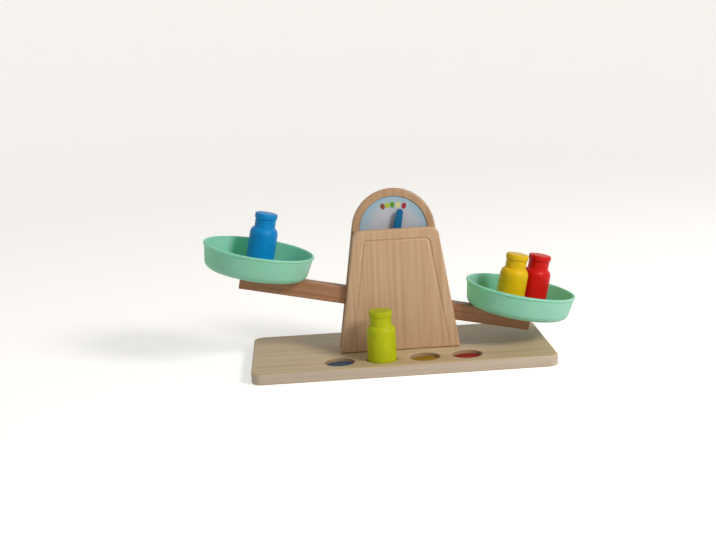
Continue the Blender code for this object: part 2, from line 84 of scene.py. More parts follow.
SEAT = 0.0003           # between a piece and what it stands on or is let into
ARRIS = 0.0003          # broken edge of a drilled hole
FINE_ARRIS = 0.0002     # broken edge of a hole that holds a pin
TILT = math.radians(12.0)
BASE_TOP = 0.013
RECESS_DEPTH = 0.004
RECESS_PITCH = 0.0477
RECESS_Y = -0.0520
TOWER_FOOT = BASE_TOP + SEAT
BOARD_GAP = 0.011       # from the middle plane to the inner face of each tower board
PIVOT = np.array([0.0, 0.0, 0.132])
BEAM_TOP = -0.0555      # the beam's upper face, from the pivot along the beam's own up
PAN_SPREAD = 0.152
PAN_FLOOR = 0.0045
SCREW = (0.0015, 0.0030, 0.0020)        # radius of the shank, radius and height of the head
SMALL_SCREW = (0.0010, 0.0020, 0.0012)
SUNK = 0.0005           # how deep a screw's head lies below the face
GRIP = 0.008            # how far a screw reaches into the piece that it holds
SIDES = (("left", -1.0), ("right", 1.0))


# Shapes

FLAT_FROM = 1.25        # a board's flat face starts this many eases inside its outline
END_FROM = 1.3          # and a turned piece's flat end this many rounds inside its edge


@dataclass(frozen=True)
class Place:
    """Where a piece's local frame lies in the model: its origin and its three axes, as rows."""

    origin: Triple
    axes: tuple[Triple, ...] = ((1, 0, 0), (0, 1, 0), (0, 0, 1))

    def world(self, points: np.ndarray) -> np.ndarray:
        """Local points in the model's frame: origin + x·X + y·Y + z·Z."""
        return np.asarray(self.origin) + points @ np.asarray(self.axes, float)

    def shift(self, x: float = 0.0, y: float = 0.0, z: float = 0.0) -> "Place":
        """The same frame moved along its own axes."""
        return Place(tuple(self.world(np.array([x, y, z]))), self.axes)


UPRIGHT = ((1, 0, 0), (0, 0, 1), (0, -1, 0))        # x right, y up, z towards the player
ROD = ((1, 0, 0), (0, 0, -1), (0, 1, 0))            # z away from the player
COS, SIN = math.cos(TILT), math.sin(TILT)
ALONG, UP = (COS, 0.0, -SIN), (SIN, 0.0, COS)       # the tipped beam's own right and up
TIPPED = Place(tuple(PIVOT), (ALONG, (0, 1, 0), UP))
TIPPED_UPRIGHT = Place(tuple(PIVOT), (ALONG, UP, (0, -1, 0)))
TIPPED_ROD = Place(tuple(PIVOT), (ALONG, tuple(-c for c in UP), (0, 1, 0)))


def arc(centre: Sequence[float], radius: float, start: float, end: float, steps: int) -> np.ndarray:
    """Points c + r(cos t, sin t), with t in even steps from start to end.

    Args:
        centre: Centre of the circle.
        radius: Its radius.
        start: First angle, in degrees.
        end: Last angle, in degrees.
        steps: Number of steps between them.

    Returns:
        The (steps + 1, 2) points.
    """
    t = np.radians(np.linspace(start, end, steps + 1))
    return np.asarray(centre) + radius * np.stack([np.cos(t), np.sin(t)], 1)


def circle(x: float, y: float, radius: float, sides: int = 48) -> np.ndarray:
    """A closed counter-clockwise circle of (sides, 2) points."""
    return arc((x, y), radius, 0, 360, sides)[:-1]


def box_outline(width: float, height: float, corner: float = 0.0, steps: int = 6) -> np.ndarray:
    """A rectangle about the origin, with round corners where corner is above zero.

    Args:
        width: Size along x.
        height: Size along y.
        corner: Radius of the corners.
        steps: Steps round each corner.

    Returns:
        The closed counter-clockwise outline.
    """
    x, y = width / 2 - corner, height / 2 - corner
    spots = ((x, y, 0), (-x, y, 90), (-x, -y, 180), (x, -y, 270))
    if not corner:
        return np.array([(a, b) for a, b, _ in spots])
    return np.concatenate([arc((a, b), corner, t, t + 90, steps) for a, b, t in spots])


def inset(loop: np.ndarray, distance: float) -> np.ndarray:
    """A closed counter-clockwise loop moved inwards by a distance, or outwards where it is below zero.

    Each point moves along n1 + n2, the normals of its two edges, by distance / (1 + n1·n2), which keeps
    every edge parallel to itself.

    Args:
        loop: The closed loop.
        distance: How far inwards each edge moves.

    Returns:
        The moved loop.
    """
    edge = np.roll(loop, -1, 0) - loop
    ahead = np.stack([-edge[:, 1], edge[:, 0]], 1) / np.linalg.norm(edge, axis=1, keepdims=True)
    behind = np.roll(ahead, 1, 0)
    return loop + distance * (ahead + behind) / (1 + (ahead * behind).sum(1, keepdims=True))


def lifted(loop: np.ndarray, height: float) -> np.ndarray:
    """A flat loop as (n, 3) points at a height."""
    return np.column_stack([loop, np.full(len(loop), height)])


class Shell:
    """Gathers the grids and flat caps of one piece, then joins them into one closed mesh."""

    WELD: ClassVar[float] = 2e-6        # points closer than this become one
    SLIVER: ClassVar[float] = 1e-7      # edges shorter than this go

    def __init__(self) -> None:
        """Starts with nothing."""
        self._points: list[np.ndarray] = []
        self._faces: list[list[int]] = []
        self._count = 0

    def _store(self, points: np.ndarray) -> int:
        """Keeps points and returns the number of the first one.

        Args:
            points: An array whose last axis holds x, y and z.

        Returns:
            The first point's number in the mesh.
        """
        first = self._count
        self._points.append(points.reshape(-1, 3))
        self._count += len(self._points[-1])
        return first

    def grid(self, points: np.ndarray, closed: bool = True) -> "Shell":
        """Adds the quads of a (rows, columns, 3) grid.

        Args:
            points: The grid's points.
            closed: Whether the last column joins the first.

        Returns:
            This shell.
        """
        rows, columns = points.shape[:2]
        index = self._store(points) + np.arange(rows * columns).reshape(rows, columns)
        if closed:
            index = np.concatenate([index, index[:, :1]], 1)
        quads = np.stack([index[:-1, :-1], index[:-1, 1:], index[1:, 1:], index[1:, :-1]], -1)
        self._faces += quads.reshape(-1, 4).tolist()
        return self

    def loops(self, loop: np.ndarray, rows: Sequence[Pair]) -> "Shell":
        """Adds a wall of loops, which are moved in by a row's first number and lie at its second."""
        return self.grid(np.stack([lifted(inset(loop, moved), z) for moved, z in rows]))

    def cap(self, outline: np.ndarray, height: float, holes: Sequence[np.ndarray] = ()) -> "Shell":
        """Adds a flat face inside an outline at a height, with holes left in it.

        Args:
            outline: Closed outline.
            height: Its local z.
            holes: Closed outlines of the holes.

        Returns:
            This shell.
        """
        loops = [lifted(loop, height) for loop in (outline, *holes)]
        first = self._store(np.concatenate(loops))
        self._faces += [[first + i for i in face] for face in tessellate_polygon([x.tolist() for x in loops])]
        return self

    def mesh(self, name: str, place: Place, smooth: float) -> bpy.types.Mesh:
        """Joins the parts, puts them in the model and points the faces outward.

        Args:
            name: The mesh's name.
            place: The local frame.
            smooth: Edges that turn by more than this angle, in degrees, stay sharp.

        Returns:
            The closed mesh.
        """
        mesh = bpy.data.meshes.new(name)
        mesh.from_pydata(place.world(np.concatenate(self._points)), [], self._faces)
        work = bmesh.new()
        work.from_mesh(mesh)
        bmesh.ops.remove_doubles(work, verts=work.verts, dist=self.WELD)
        bmesh.ops.dissolve_degenerate(work, edges=work.edges, dist=self.SLIVER)
        bmesh.ops.recalc_face_normals(work, faces=work.faces)
        work.to_mesh(mesh)
        work.free()
        mesh.shade_smooth()
        mesh.set_sharp_from_angle(angle=math.radians(smooth))
        return mesh


@dataclass
class Hole:
    """A hole in a board, as rows from its mouth inwards: how far its loop is grown, and how deep that is."""

    loop: np.ndarray
    rows: Sequence[Pair]
    through: bool = False


def cut(loop: np.ndarray, depth: float = 0.0, arris: float = FINE_ARRIS) -> Hole:
    """A hole with straight walls and a broken edge, which goes through the board if it has no depth."""
    edge = [(arris, 0.0), (0.0, arris)]
    return Hole(loop, edge + [(0.0, depth)] if depth else edge, not depth)


def screw_hole(x: float, y: float, depth: float = 0.008) -> Hole:
    """A countersunk blind hole: a short throat, the head's cone, then the shank's bore.

    Args:
        x: Where its axis lies along x.
        y: Where it lies along y.
        depth: Where the bore ends.

    Returns:
        The hole.
    """
    bore, head, cone = (size + SEAT for size in SCREW)
    grown = head - bore
    rows = ((grown + ARRIS, 0.0), (grown, ARRIS), (grown, SUNK), (0.0, cone), (0.0, depth))
    return Hole(circle(x, y, bore, 24), rows)


def board(outline: np.ndarray, thickness: float, ease: float, front: Sequence[Hole] = (),
          back: Sequence[Hole] = (), steps: int = 4, face: bool = True) -> Shell:
    """A flat board. Its rim's rows are the outline moved in by e(1 - sin t) at the height e(1 - cos t).

    Args:
        outline: Closed counter-clockwise outline.
        thickness: From the back face at z = 0 to the front face.
        ease: Radius e of the round along both edges.
        front: Holes from the front face. One that goes through opens the back face as well.
        back: Holes from the back face.
        steps: Steps round each edge.
        face: Whether the front face is closed here, and isn't left for the caller to fill.

    Returns:
        The shell.
    """
    t = np.linspace(0, math.pi / 2, steps + 1)
    moved, height = ease * (1 - np.sin(t)), ease * (1 - np.cos(t))
    inner = ease * FLAT_FROM
    rim = [(inner, 0.0), *zip(moved, height), *zip(moved[::-1], thickness - height[::-1]), (inner, thickness)]
    shell = Shell().loops(outline, rim)
    mouths: dict[float, list[np.ndarray]] = {0.0: [], thickness: []}
    for side, holes in ((thickness, front), (0.0, back)):
        inward = -1.0 if side else 1.0
        for hole in holes:
            rows = [(-grown, side + inward * depth) for grown, depth in hole.rows]
            if hole.through:
                rows += [(grown, thickness - z) for grown, z in reversed(rows)]
                mouths[thickness - side].append(inset(hole.loop, rows[-1][0]))
            shell.loops(hole.loop, rows)
            mouths[side].append(inset(hole.loop, rows[0][0]))
            if not hole.through:
                shell.cap(inset(hole.loop, rows[-1][0]), rows[-1][1])
    if not face:
        del mouths[thickness]
    for height, loops in mouths.items():
        shell.cap(inset(outline, inner), height, loops)
    return shell


def turned(profile: np.ndarray, sides: int = 96, ring: bool = False) -> Shell:
    """A turned piece: the profile's (r, z) points spun to (r cos a, r sin a, z).

    Args:
        profile: Points from one end of the axis to the other, or round a ring's section.
        sides: Steps round the axis.
        ring: Whether the profile closes on itself.

    Returns:
        The closed shell.
    """
    if ring:
        profile = np.concatenate([profile, profile[:1]])
    a = np.linspace(0, 2 * math.pi, sides, endpoint=False)
    r, z = profile[:, :1], profile[:, 1:]
    return Shell().grid(np.stack([r * np.cos(a), r * np.sin(a), np.broadcast_to(z, (len(z), sides))], -1))


def rod(radius: float, length: float, chamfer: float = 0.0004) -> Shell:
    """A rod about the origin with a broken edge at each end, whose end faces have a narrow outer ring.

    Args:
        radius: Its radius.
        length: From end to end.
        chamfer: Size of the broken edges.

    Returns:
        The closed shell.
    """
    half = length / 2
    upper = np.array([(0, half), (radius - chamfer * END_FROM, half), (radius - chamfer, half),
                      (radius, half - chamfer)])
    return turned(np.concatenate([upper, upper[::-1] * (1, -1)]), 48)


def collar(inner: float, outer: float, half: float, chamfer: float = 0.00025) -> Shell:
    """A ring about the origin, with its four edges broken, that reaches half its length to either side.

    Args:
        inner: Radius of the bore.
        outer: Outer radius.
        half: Half its length.
        chamfer: Size of the broken edges.

    Returns:
        The closed shell.
    """
    c = chamfer
    section = np.array([(inner + c, half), (outer - c, half), (outer, half - c), (outer, c - half),
                        (outer - c, -half), (inner + c, -half), (inner, c - half), (inner, half - c)])
    return turned(section, 48, True)


def screw(shank: float, head: float, cone: float, length: float, pitch: float = 0.0012) -> Shell:
    """A countersunk wood screw that points up from its head's face at z = 0.

    The head's face sinks by the depth of a cross, whose two bars fall off smoothly across their width and
    length. The shank's radius is r - d·|2 frac(z / pitch - a / 2π) - 1|, a ridge that climbs by one pitch
    each turn, and fades out at its ends.

    Args:
        shank: Outer radius of the thread.
        head: Radius of the head.
        cone: Height of the head.
        length: Whole length.
        pitch: Rise of the thread in a turn.

    Returns:
        The closed shell.
    """
    sides, rings, rows_per_turn = 48, 16, 9
    face_edge, cross_depth, core, point = 0.96, 0.75, 0.82, 0.6
    rim = np.array([0.04, 0.16]) * cone
    half_bar, flank, reach, ramp = (head * share for share in (0.16, 0.07, 0.62, 0.30))
    a = np.linspace(0, 2 * math.pi, sides, endpoint=False)[None]
    r = head * np.linspace(0, face_edge, rings)[:, None]
    x, y = r * np.cos(a), r * np.sin(a)

    def bar(across: np.ndarray, along: np.ndarray) -> np.ndarray:
        """One bar of the cross: 1 in its middle, 0 outside, with sloping flanks."""
        width = np.clip((half_bar - np.abs(across)) / flank, 0, 1)
        return width * np.clip((reach - np.abs(along)) / ramp, 0, 1)

    face = np.stack([x, y, cross_depth * cone * np.maximum(bar(x, y), bar(y, x))], -1)
    end = length - point * shank
    z = np.concatenate([rim, np.linspace(cone, end, int(length / pitch * rows_per_turn))])
    swell = np.clip((z - cone) / pitch, 0, 1) * np.clip((end - z) / pitch, 0, 1)
    ridge = np.abs(2 * np.mod(z[:, None] / pitch - a / (2 * math.pi), 1) - 1)
    r = shank * (core + (1 - core) * swell[:, None] * (1 - ridge))
    r[:2] = head
    side = np.stack([r * np.cos(a), r * np.sin(a), np.broadcast_to(z[:, None], r.shape)], -1)
    tip = np.zeros((1, sides, 3)) + [0, 0, length]
    return Shell().grid(np.concatenate([face, side, tip]))


# Finishes

def linear(colour: str) -> tuple[float, float, float, float]:
    """An sRGB hex colour as linear RGBA: ((c + 0.055) / 1.055) ^ 2.4, or c / 12.92 where it is very dark."""
    parts = [int(colour[i:i + 2], 16) / 255 for i in (1, 3, 5)]
    return (*(c / 12.92 if c < 0.04045 else ((c + 0.055) / 1.055) ** 2.4 for c in parts), 1.0)


def add_node(tree: Tree, kind: str, sockets: dict[Any, Any] | None = None, out: Any = 0,
             **settings: Any) -> Socket:
    """Adds a node with its settings, and sets or links its sockets.

    Args:
        tree: The node tree.
        kind: The node's type, without its ShaderNode prefix.
        sockets: Values or other nodes' outputs by socket name or number.
        out: Name or number of the output that is wanted.
        **settings: The node's own settings.

    Returns:
        The output.
    """
    node = tree.nodes.new("ShaderNode" + kind)
    for name, value in settings.items():
        setattr(node, name, value)
    for name, value in (sockets or {}).items():
        if isinstance(value, Socket):
            tree.links.new(value, node.inputs[name])
        else:
            node.inputs[name].default_value = value
    return node.outputs[out]


class Axis(Enum):
    """The way a board's grain runs, as the turn that brings its object coordinates' x along the grain."""

    ALONG_X = (0.0, 0.0, 0.0)
    ALONG_Y = (0.0, 0.0, math.pi / 2)
    UPRIGHT = (0.0, math.pi / 2, 0.0)
    TIPPED_BEAM = (0.0, -TILT, 0.0)
    TIPPED_HANGER = (0.0, math.pi / 2 - TILT, 0.0)


class Finish:
    """A finish: what a surface is made of and how it was worked. Each kind has its own nodes."""

    name: str
    slot: str
    rough: Pair                             # roughness where the gloss's noise is 0 and where it is 1
    RELIEF: ClassVar[Pair] = (0.0, 0.0)     # how much of the relief shows, and how deep it is
    SHADER: ClassVar[dict[str, Any]] = {}

    def nodes(self, add: Maker, place: Socket) -> Skin:
        """Adds the finish's nodes; returns its colour, its gloss's noise and its relief's height."""
        raise NotImplementedError

    @functools.cache
    def material(self) -> bpy.types.Material:
        """The finish's material, made once.

        Returns:
            The material.
        """
        made = bpy.data.materials.new(self.name)
        made.use_nodes = True
        tree = made.node_tree
        add = functools.partial(add_node, tree)
        colour, gloss, height = self.nodes(add, add("TexCoord", out="Object"))
        inputs = tree.nodes["Principled BSDF"].inputs
        for socket, value in self.SHADER.items():
            inputs[socket].default_value = value
        low, high = self.rough
        strength, depth = self.RELIEF
        tree.links.new(colour, inputs["Base Color"])
        tree.links.new(add("MapRange", {"Value": gloss, "To Min": low, "To Max": high}), inputs["Roughness"])
        if strength:
            bump = add("Bump", {"Height": height, "Strength": strength, "Distance": depth})
            tree.links.new(bump, inputs["Normal"])
        return made


@dataclass(frozen=True)
class Beech(Finish):
    """Sanded beech under a matt clear coat: broad streaks, year rings, and the short dark rays of this wood.

    The streaks are 4 mm wide and 90 mm long, the rings 5 mm apart round a pith that lies outside the board,
    and the rays 0.5 mm wide and 3 mm long, as in the real wood.
    """

    name: str
    slot: str
    pale: str
    dark: str
    ray: str
    grain: Axis
    pith: Triple
    # side: a greyer tone painted on the outer upright faces, as painted light for how the light falls on them
    side: str = ""
    # bored: a dark tone painted on the walls of the recesses and screw holes inside the reach, as painted
    # shade; reach: half the size of that middle box
    bored: str = ""
    reach: Pair = (0.0, 0.0)
    rough: Pair = (0.43, 0.57)

    RELIEF: ClassVar[Pair] = (0.25, 0.0003)
    STREAK: ClassVar[Pair] = (0.090, 0.0042)            # length and width
    RAY: ClassVar[Triple] = (0.0030, 0.0005, 1.0)       # length, width and detail
    PORE: ClassVar[Triple] = (0.0060, 0.0003, 2.0)
    RING_SHARE: ClassVar[float] = 0.36      # how much the rings count beside the streaks
    RING_WAVE: ClassVar[float] = 0.12       # how fast the rings change along the grain
    PAINTED_LIGHT_AND_SHADE_SHARE: ClassVar[float] = 0.6        # how far an upright face leans to its tone of painted light on the edges and painted shade in the hollows

    def nodes(self, add: Maker, place: Socket) -> Skin:
        """Streaks and rings choose between two tones, then rays darken them; fine pores make the relief.

        Where a side tone is given, upright faces lean to it beyond the reach from the middle, a painted light
        for how the light falls on the board's outer edges, and to the bored tone within it, a painted shade
        in the recesses and holes.

        Args:
            add: Adds a node to the material's tree.
            place: Object coordinates.

        Returns:
            Colour, the gloss's noise and the relief's height.
        """
        along = add("Mapping", {"Vector": place, "Rotation": self.grain.value})

        def noise(length: float, width: float, detail: float = 3.0) -> Socket:
            """Noise whose blotches are as long along the grain and as wide across it as asked, in metres.

            Args:
                length: Their size along the grain.
                width: Their size across it.
                detail: How many finer layers it has.

            Returns:
                The noise.
            """
            scale = (1 / length, 1 / width, 1 / width)
            scaled = add("Mapping", {"Vector": along, "Location": self.pith, "Scale": scale})
            return add("TexNoise", {"Vector": scaled, "Scale": 1.0, "Detail": detail, "Roughness": 0.55})

        far = add("Mapping", {"Vector": along, "Location": self.pith, "Scale": (self.RING_WAVE, 1.0, 1.0)})
        rings = add("TexWave", {
            "Vector": far, "Scale": 62.0, "Distortion": 2.2, "Detail": 2.0, "Detail Scale": 0.25}, "Fac",
            wave_type="RINGS", rings_direction="X", wave_profile="SIN")
        streak = add("MapRange", {"Value": noise(*self.STREAK), "From Min": 0.34, "From Max": 0.66})
        amount = add("Mix", {0: self.RING_SHARE, 2: streak, 3: rings}, data_type="FLOAT")
        wood = add("Mix", {0: amount, 6: linear(self.dark), 7: linear(self.pale)}, 2, data_type="RGBA")
        rays = add("MapRange", {"Value": noise(*self.RAY), "From Min": 0.62, "From Max": 0.72, "To Max": 0.5})
        colour = add("Mix", {0: rays, 6: wood, 7: linear(self.ray)}, 2, data_type="RGBA")
        # Painted light and shade: outer upright faces lean to the greyer side tone for the light on them, and
        # walls inside the reach lean to the dark bored tone for the shade in the recesses and holes
        if self.side:
            facing = add("SeparateXYZ", {0: add("TexCoord", out="Normal")}, "Z")
            level = add("Math", {0: facing}, operation="ABSOLUTE")
            upright = add("MapRange", {
                "Value": level, "From Min": 0.75, "From Max": 0.25, "To Max": self.PAINTED_LIGHT_AND_SHADE_SHARE})
            far_out = add("VectorMath", {0: place}, operation="ABSOLUTE")
            past = add("VectorMath", {0: far_out, 1: (*self.reach, 0.0)}, operation="SUBTRACT")
            sides = add("SeparateXYZ", {0: past}).node.outputs
            most = add("Math", {0: sides["X"], 1: sides["Y"]}, operation="MAXIMUM")
            outside = add("Math", {0: most, 1: 0.0}, operation="GREATER_THAN")
            # The bored tone is painted shade in the recesses and holes; the side tone is painted light on the
            # outer edges
            tone = add("Mix", {0: outside, 6: linear(self.bored), 7: linear(self.side)}, 2, data_type="RGBA")
            colour = add("Mix", {0: upright, 6: colour, 7: tone}, 2, data_type="RGBA")
        pores = noise(*self.PORE)
        return colour, pores, pores


@dataclass(frozen=True)
class Lacquer(Finish):
    """Coloured lacquer on turned beech: a soft gloss that still shows the wood's lines as faint ribs."""

    name: str
    slot: str
    colour: str
    shade: str
    grain: Axis = Axis.UPRIGHT
    rough: Pair = (0.35, 0.48)

    RELIEF: ClassVar[Pair] = (0.12, 0.0003)
    SHADER: ClassVar[dict[str, Any]] = {"Specular IOR Level": 0.22}
    LINE: ClassVar[Pair] = (0.030, 0.0009)      # length and width

    def nodes(self, add: Maker, place: Socket) -> Skin:
        """Slow clouds and 0.9 mm grain lines shift the colour a little; the lines also lift the surface.

        Args:
            add: Adds a node to the material's tree.
            place: Object coordinates.

        Returns:
            Colour, the gloss's noise and the relief's height.
        """
        along = add("Mapping", {"Vector": place, "Rotation": self.grain.value})
        length, width = self.LINE
        scaled = add("Mapping", {"Vector": along, "Scale": (1 / length, 1 / width, 1 / width)})
        lines = add("TexNoise", {"Vector": scaled, "Scale": 1.0, "Detail": 3.0, "Roughness": 0.6})
        clouds = add("TexNoise", {"Vector": place, "Scale": 70.0, "Detail": 2.0})
        both = add("Mix", {0: 0.5, 2: lines, 3: clouds}, data_type="FLOAT")
        amount = add("MapRange", {"Value": both, "From Min": 0.35, "From Max": 0.65})
        colour = add("Mix", {0: amount, 6: linear(self.shade), 7: linear(self.colour)}, 2, data_type="RGBA")
        return colour, clouds, lines


@dataclass(frozen=True)
class Moulded(Finish):
    """Injection moulded polypropylene: a satin skin with a fine, even spark-eroded texture.

    Its walls let a little light through, which glows greener than the light that they throw back.
    """

    name: str
    slot: str
    colour: str
    shade: str
    rough: Pair = (0.40, 0.52)

    RELIEF: ClassVar[Pair] = (0.10, 0.0002)
    SHADER: ClassVar[dict[str, Any]] = {
        "IOR": 1.49, "Specular IOR Level": 0.35, "Subsurface Weight": 1.0,
        "Subsurface Radius": (0.12, 1.0, 0.45), "Subsurface Scale": 0.010}

    def nodes(self, add: Maker, place: Socket) -> Skin:
        """Faint flow clouds shift the colour; a 0.5 mm grain, drawn coarser than real, lifts the surface.

        Args:
            add: Adds a node to the material's tree.
            place: Object coordinates.

        Returns:
            Colour, the gloss's noise and the relief's height.
        """
        clouds = add("TexNoise", {"Vector": place, "Scale": 26.0, "Detail": 2.0})
        amount = add("MapRange", {"Value": clouds, "From Min": 0.3, "From Max": 0.7})
        colour = add("Mix", {0: amount, 6: linear(self.shade), 7: linear(self.colour)}, 2, data_type="RGBA")
        grain = add("TexNoise", {"Vector": place, "Scale": 2000.0, "Detail": 1.0})
        return colour, grain, grain


@dataclass(frozen=True)
class Plated(Finish):
    """Drawn and plated metal: fine lines from drawing, and a plating that varies slightly in tone."""

    name: str
    slot: str
    colour: str
    shade: str
    rough: Pair = (0.20, 0.40)

    SHADER: ClassVar[dict[str, Any]] = {"Metallic": 1.0}
    LINE: ClassVar[Pair] = (0.006, 0.00015)     # length and width

    def nodes(self, add: Maker, place: Socket) -> Skin:
        """Lines 0.15 mm apart along Y break up the gloss; 2 mm clouds shift the tone.

        Args:
            add: Adds a node to the material's tree.
            place: Object coordinates.

        Returns:
            Colour, the gloss's noise and the relief's height.
        """
        clouds = add("TexNoise", {"Vector": place, "Scale": 500.0, "Detail": 2.0})
        colour = add("Mix", {0: clouds, 6: linear(self.shade), 7: linear(self.colour)}, 2, data_type="RGBA")
        length, width = self.LINE
        scaled = add("Mapping", {"Vector": place, "Scale": (1 / width, 1 / length, 1 / width)})
        lines = add("TexNoise", {"Vector": scaled, "Scale": 1.0})
        return colour, lines, lines


@dataclass(frozen=True)
class Printed(Finish):
    """Printed card under a matt film: a pale middle that runs into sky blue towards the rim."""

    name: str
    slot: str
    middle: str
    rim: str
    centre: Triple
    fade: Pair = (0.026, 0.046)     # where the rim's ink begins, and where it is full
    rough: Pair = (0.42, 0.56)

    RELIEF: ClassVar[Pair] = (0.06, 0.0001)
    WANDER: ClassVar[float] = 0.010     # how far the edge between the inks strays

    def nodes(self, add: Maker, place: Socket) -> Skin:
        """The distance from the centre, with a little noise, mixes the two inks; dots make the relief.

        Args:
            add: Adds a node to the material's tree.
            place: Object coordinates.

        Returns:
            Colour, the gloss's noise and the relief's height.
        """
        moved = add("VectorMath", {0: place, 1: self.centre}, operation="SUBTRACT")
        flat = add("VectorMath", {0: moved, 1: (1.0, 0.0, 1.0)}, operation="MULTIPLY")
        reach = add("VectorMath", {0: flat}, "Value", operation="LENGTH")
        clouds = add("TexNoise", {"Vector": place, "Scale": 90.0, "Detail": 3.0})
        wander = add("Math", {0: clouds, 1: self.WANDER, 2: reach}, operation="MULTIPLY_ADD")
        begin, full = self.fade
        amount = add("MapRange", {"Value": wander, "From Min": begin, "From Max": full},
                     interpolation_type="SMOOTHSTEP")
        colour = add("Mix", {0: amount, 6: linear(self.middle), 7: linear(self.rim)}, 2, data_type="RGBA")
        grain = add("TexNoise", {"Vector": place, "Scale": 3000.0, "Detail": 1.0})
        return colour, grain, grain


# The base's side tone #BAB0AA is painted light on its outer upright faces, and its bored tone #86684C is
# painted shade in its recesses and holes
BASE_BEECH = Beech("base_beech", "pale_beech", "#CDB894", "#B9A07A", "#A38862", Axis.ALONG_X,
                   (0.0, 0.03, 0.07), side="#BAB0AA", bored="#86684C", reach=(0.160, 0.0735))
TOWER_BEECH = Beech("tower_beech", "beech", "#CBAB8A", "#B99572", "#9E795A", Axis.UPRIGHT, (0.0, 0.05, 0.03))
REAR_BEECH = Beech("rear_board_beech", "beech", "#BC9A78", "#A98663", "#8C694C", Axis.UPRIGHT,
                   (0.2, 0.09, 0.06))
BLOCK_BEECH = Beech("block_beech", "beech", "#C8A27E", "#B68E68", "#9A7050", Axis.ALONG_X, (0.4, 0.02, 0.04))
PEG_BEECH = Beech("peg_beech", "pale_beech", "#D6C09A", "#C2A67E", "#A98B66", Axis.ALONG_Y, (0.1, 0.02, 0.05))
BEAM_BEECH = Beech("steamed_beam_beech", "dark_beech", "#AC7C5A", "#93613F", "#744A30", Axis.TIPPED_BEAM,
                   (0.3, 0.04, 0.03))
HANGER_BEECH = Beech("hanger_beech", "beech", "#C8A27E", "#B68E68", "#9A7050", Axis.TIPPED_HANGER,
                     (0.5, 0.03, 0.05))
MINT = Moulded("mint_polypropylene", "mint_plastic", "#98D2BE", "#8ECAB4")
STEEL = Plated("zinc_plated_steel", "zinc_steel", "#B9BABC", "#9D9FA3")
BRASS = Plated("drawn_brass", "bush_brass", "#C9A860", "#B08E48")
POINTER_LACQUER = Lacquer("pointer_lacquer", "pointer_blue", "#0C6E9E", "#086090", Axis.TIPPED_HANGER)
MATT, INKED = (0.50, 0.63), (0.45, 0.58)     # roughness of a stain and of a print
LACQUERS = {name: Lacquer(f"{name}_lacquer", f"{name}_lacquer", colour, shade) for name, colour, shade in (
    ("blue", "#0090D8", "#007EC4"), ("green", "#B6BE06", "#A8B000"),
    ("yellow", "#E6BE08", "#DAB000"), ("red", "#D8100C", "#C60C08"))}
STAINS = {name: Lacquer(f"{name}_stained_floor", f"{name}_lacquer", colour, shade, Axis.ALONG_X, MATT)
          for name, colour, shade in (
              ("blue", "#38506A", "#2E4459"), ("green", "#7C8420", "#6A7218"),
              ("yellow", "#A07C10", "#8C6C0A"), ("red", "#9A1812", "#84120C"))}


def dress(shell: Shell, name: str, place: Place, finish: Finish, body: str, *nodes: str,
          smooth: float = 32.0) -> None:
    """Makes a piece, gives it its finish and hangs it on its body in place of the CAD nodes it stands for.

    Args:
        shell: The piece's surfaces.
        name: The piece's name.
        place: Its local frame.
        finish: What it is made of.
        body: The CAD body that it moves with.
        *nodes: The CAD nodes that it replaces.
        smooth: Angle above which edges stay sharp, in degrees.
    """
    piece = bpy.data.objects.new(name, shell.mesh(name, place, smooth))
    piece.data.materials.append(finish.material())
    bpy.context.scene.collection.objects.link(piece)
    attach(piece, body)
    if nodes:
        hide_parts(*nodes)
    LOG.info("%s: %d faces, rides on %s", name, len(piece.data.polygons), body)


# Sub-assemblies

@dataclass
class Base:
    """The base board with its four recesses and their stained floors."""

    length: float = 0.340
    depth: float = 0.163
    corner: float = 0.012
    ease: float = 0.002
    recess: float = 0.0170
    disc: float = 0.0012
    screw_spread: float = 0.022

    MOUTH: ClassVar[list[Pair]] = [      # the round of a recess's edge: grown by, at this depth
        (0.0006, 0.0), (0.0003, 0.0001), (0.0001, 0.0003), (0.0, 0.0006)]

    def build(self) -> None:
        """Builds the board, the discs and the two screws that hold the tower."""
        spots = [(i - 1.5) * RECESS_PITCH for i in range(4)]
        rows = self.MOUTH + [(0.0, RECESS_DEPTH + self.disc + SEAT)]
        recesses = [Hole(circle(x, RECESS_Y, self.recess, 96), rows) for x in spots]
        below = [screw_hole(s * self.screw_spread, 0.0) for _, s in SIDES]
        outline = box_outline(self.length, self.depth, self.corner, 10)
        slab = board(outline, BASE_TOP, self.ease, recesses, below, 6)
        dress(slab, "sanded_base_board", Place((0, 0, 0)), BASE_BEECH, "base", "base_board")
        top, edge, e = BASE_TOP - RECESS_DEPTH, self.recess - SEAT, ARRIS
        profile = np.array([(0, top), (edge - 2 * e, top), (edge - e, top - e / 3), (edge, top - 4 * e / 3),
                            (edge, top - self.disc), (0, top - self.disc)])
        for x, colour in zip(spots, STAINS):
            dress(turned(profile), f"stained_floor_{colour}", Place((x, RECESS_Y, 0)), STAINS[colour], "base",
                  f"recess_disc_{colour}")
        for side, sign in SIDES:
            dress(screw(*SCREW, BASE_TOP - SUNK + GRIP), f"cross_screw_tower_{side}",
                  Place((sign * self.screw_spread, 0, SUNK)), STEEL, "base", f"tower_screw_{side}")


